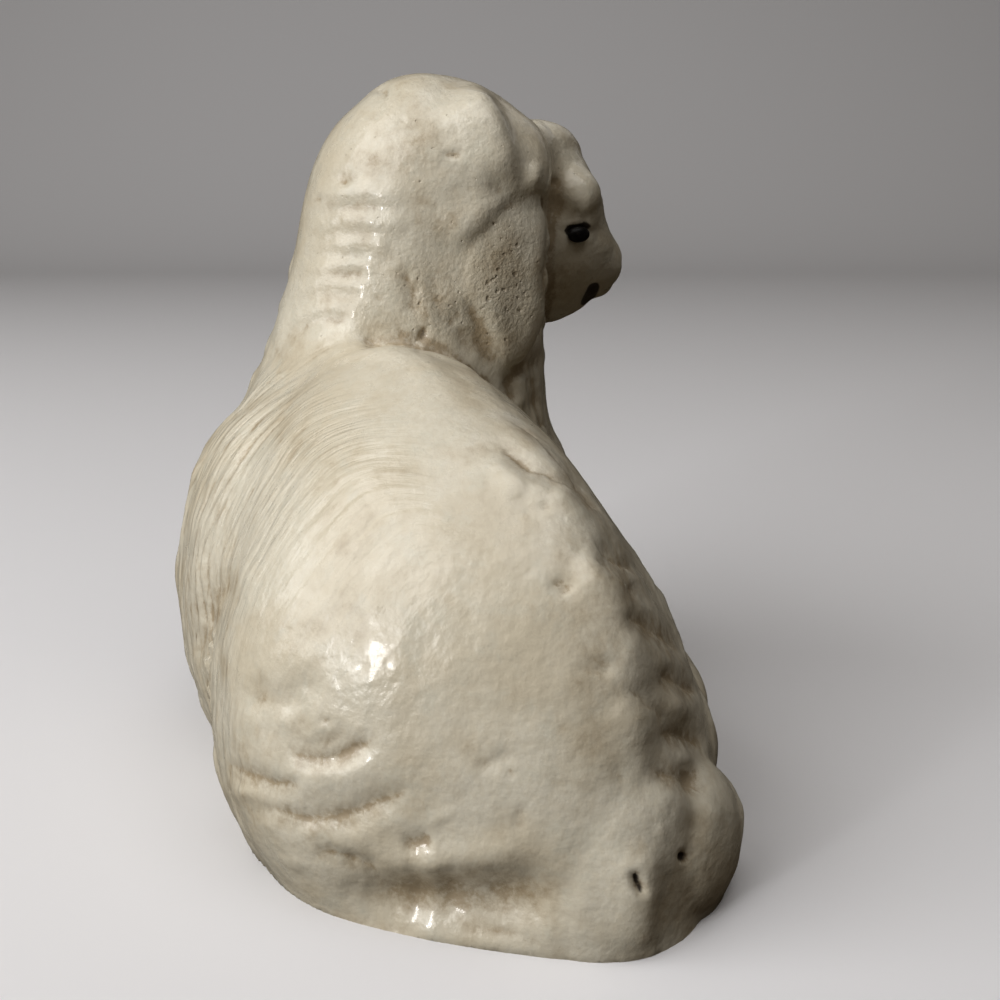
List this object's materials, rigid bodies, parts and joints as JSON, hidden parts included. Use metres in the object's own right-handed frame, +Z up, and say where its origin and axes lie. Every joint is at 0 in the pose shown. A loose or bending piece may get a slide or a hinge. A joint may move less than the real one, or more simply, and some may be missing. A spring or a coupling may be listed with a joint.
{
  "type": "sheep figurine",
  "caption": "Resting sheep ornament in cream glazed ceramic, legs folded, head turned to its right, standing on a flat underside.",
  "frame": {"origin": "on the flat underside, under the middle of the body's length", "axes": "+X from the tail to the breast, +Y to the sheep's left, +Z up; the face looks along -Y, turned a little towards +X"},
  "size_m": [0.0854, 0.0578, 0.078],
  "materials": {
    "cream_glaze": "glossy cream glaze with a brown antique wash in the grooves",
    "black_enamel": "glossy black enamel"
  },
  "bodies": {
    "root": {"body": "cream_glaze", "head": "cream_glaze", "left_ear": "cream_glaze", "right_ear": "cream_glaze", "tail": "cream_glaze", "left_eye": "black_enamel", "right_eye": "black_enamel"}
  },
  "joints": []
}
